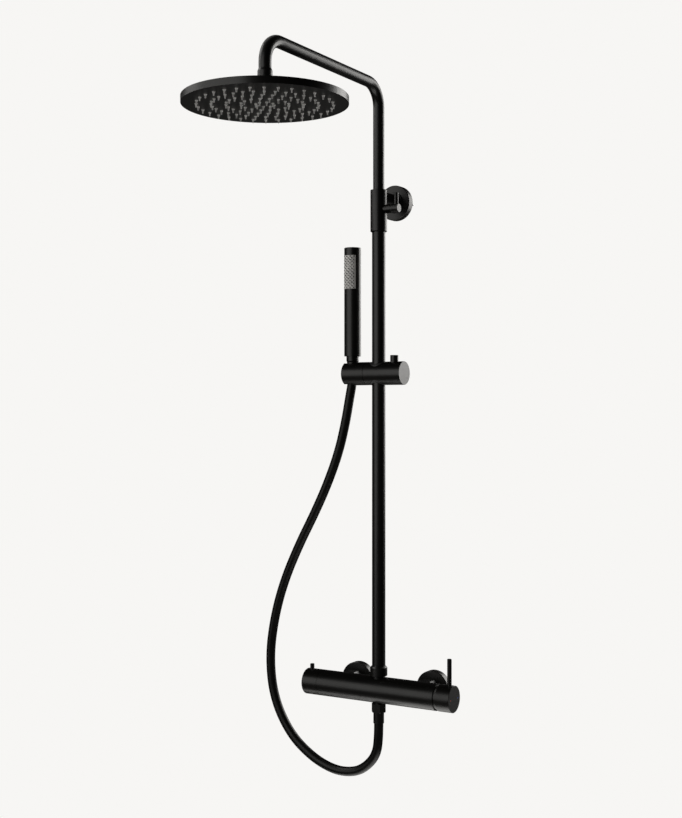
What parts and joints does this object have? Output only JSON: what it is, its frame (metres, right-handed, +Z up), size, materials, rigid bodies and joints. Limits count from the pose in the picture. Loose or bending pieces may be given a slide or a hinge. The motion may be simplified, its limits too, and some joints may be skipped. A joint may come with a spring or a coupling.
{
  "type": "rainfall shower column",
  "caption": "Wall-hung matte black shower column: lever mixer with diverter, telescopic riser, swivelling arm with round rain head, stick handset on a sliding holder and hose.",
  "frame": {"origin": "on the finished wall, midway between the two inlets and level with the mixer's axis", "axes": "+X to the right as the user faces the wall, +Y into the wall, +Z up along the riser"},
  "size_m": [0.3754, 0.566, 1.2036],
  "materials": {
    "matte_black": "fine matte black coating over brass and steel",
    "hose_black": "smooth matte black hose",
    "grey_silicone": "soft grey silicone",
    "raw_brass": "machined",
    "steel": "zinc plated or stainless",
    "black_plastic": "moulded acetal",
    "white_plastic": "moulded acetal",
    "black_rubber": "nitrile rubber",
    "red_dot": "inset enamel dot",
    "blue_dot": "inset enamel dot"
  },
  "bodies": {
    "root": {"mixer_body": "matte_black", "inlet_union_left": "matte_black", "inlet_union_right": "matte_black", "union_nut_left": "matte_black", "union_nut_right": "matte_black", "inlet_rosette_left": "matte_black", "inlet_rosette_right": "matte_black", "cartridge_ring": "matte_black", "outlet_nipple": "matte_black", "hose_hex_nut": "matte_black", "hose_ferrule": "matte_black", "riser_collar": "matte_black", "riser_tube": "matte_black", "bracket_sleeve": "matte_black", "bracket_standoff": "matte_black", "bracket_rosette": "matte_black", "hose": "hose_black", "wall_plate": "steel", "wall_screws": "steel", "guide_bush": "black_plastic", "mixing_cartridge": "white_plastic", "diverter_cartridge": "white_plastic", "check_valves": "white_plastic", "flat_seals": "black_rubber"},
    "cartridge": {"cartridge_carrier": "white_plastic"},
    "lever": {"cartridge_stem": "raw_brass", "mixer_cap": "matte_black", "mixer_lever": "matte_black", "cap_grub_screw": "steel", "hot_marker": "red_dot", "cold_marker": "blue_dot"},
    "diverter": {"diverter_stem": "raw_brass", "diverter_knob": "matte_black", "diverter_pin": "matte_black"},
    "brake": {"brake_pad": "white_plastic"},
    "lock": {"lock_screw": "steel", "lock_knob": "matte_black", "lock_pin": "matte_black"},
    "arm_guide": {"arm_slide_ring": "black_plastic", "arm_o_rings": "black_rubber"},
    "arm": {"shower_arm": "matte_black", "ball_stem": "matte_black"},
    "ball_ring": {"ball_seat": "white_plastic"},
    "rain_head": {"ball_nut": "matte_black", "head_shell": "matte_black", "head_plate": "matte_black", "nozzle_mat": "grey_silicone"},
    "slider": {"slider_body": "matte_black", "slider_bush": "black_plastic", "holder_axle": "steel", "friction_washer": "black_plastic", "button_spring": "steel"},
    "button": {"slider_button": "matte_black"},
    "shoe": {"brake_shoe": "white_plastic"},
    "holder": {"holder_head": "matte_black"},
    "hose_nut": {"hose_cone_nut": "matte_black"},
    "handset": {"handset_base": "black_plastic", "handset_tube": "matte_black", "handset_cap": "matte_black", "handset_plate": "grey_silicone"}
  },
  "joints": [
    {"name": "temperature_turn", "type": "hinge", "parent": "root", "child": "cartridge", "pos_m": [0.105, -0.067, 0], "axis": [1, 0, 0], "range_deg": [-45, 45]},
    {"name": "flow_tilt", "type": "hinge", "parent": "cartridge", "child": "lever", "pos_m": [0.105, -0.067, 0], "axis": [0, 1, 0], "range_deg": [0, 12]},
    {"name": "diverter_turn", "type": "hinge", "parent": "root", "child": "diverter", "pos_m": [-0.1, -0.067, 0], "axis": [1, 0, 0], "range_deg": [-45, 45]},
    {"name": "brake_travel", "type": "slide", "parent": "root", "child": "brake", "axis": [1, 0, 0], "range_m": [0, 0.00047]},
    {"name": "lock_turn", "type": "hinge", "parent": "brake", "child": "lock", "pos_m": [0.03, -0.067, 0.8235], "axis": [1, 0, 0], "range_deg": [0, 170]},
    {"name": "arm_height", "type": "slide", "parent": "root", "child": "arm_guide", "axis": [0, 0, 1], "range_m": [-0.11, 0.18]},
    {"name": "arm_swivel", "type": "hinge", "parent": "arm_guide", "child": "arm", "pos_m": [0, -0.067, 0.7], "axis": [0, 0, 1], "range_deg": [-75, 75]},
    {"name": "head_nod", "type": "hinge", "parent": "arm", "child": "ball_ring", "pos_m": [0, -0.411, 0.955], "axis": [1, 0, 0], "range_deg": [-12, 12]},
    {"name": "head_roll", "type": "hinge", "parent": "ball_ring", "child": "rain_head", "pos_m": [0, -0.411, 0.955], "axis": [0, 1, 0], "range_deg": [-12, 12]},
    {"name": "slider_height", "type": "slide", "parent": "root", "child": "slider", "axis": [0, 0, 1], "range_m": [-0.25, 0.215], "deforming": ["hose"]},
    {"name": "button_press", "type": "slide", "parent": "slider", "child": "button", "axis": [0, 0, -1], "range_m": [0, 0.004], "stiffness_N_per_m": 1500, "springref_m": -0.002, "deforming": ["button_spring"]},
    {"name": "shoe_release", "type": "slide", "parent": "slider", "child": "shoe", "axis": [1, 0, 0], "range_m": [0, 0.0005]},
    {"name": "holder_tilt", "type": "hinge", "parent": "slider", "child": "holder", "pos_m": [-0.03, -0.067, 0.5425], "axis": [1, 0, 0], "range_deg": [-10, 45], "deforming": ["hose"]},
    {"name": "handset_lift", "type": "slide", "parent": "holder", "child": "hose_nut", "axis": [0, 0, 1], "range_m": [0, 0.05], "deforming": ["hose"]},
    {"name": "handset_turn", "type": "hinge", "parent": "hose_nut", "child": "handset", "pos_m": [-0.052, -0.067, 0.6], "axis": [0, 0, 1], "continuous": true}
  ],
  "couplings": [
    {"joint": "lock_turn", "follows": "brake_travel", "rad_per_m": 6283.2},
    {"joint": "shoe_release", "follows": "button_press", "ratio": 0.125}
  ]
}
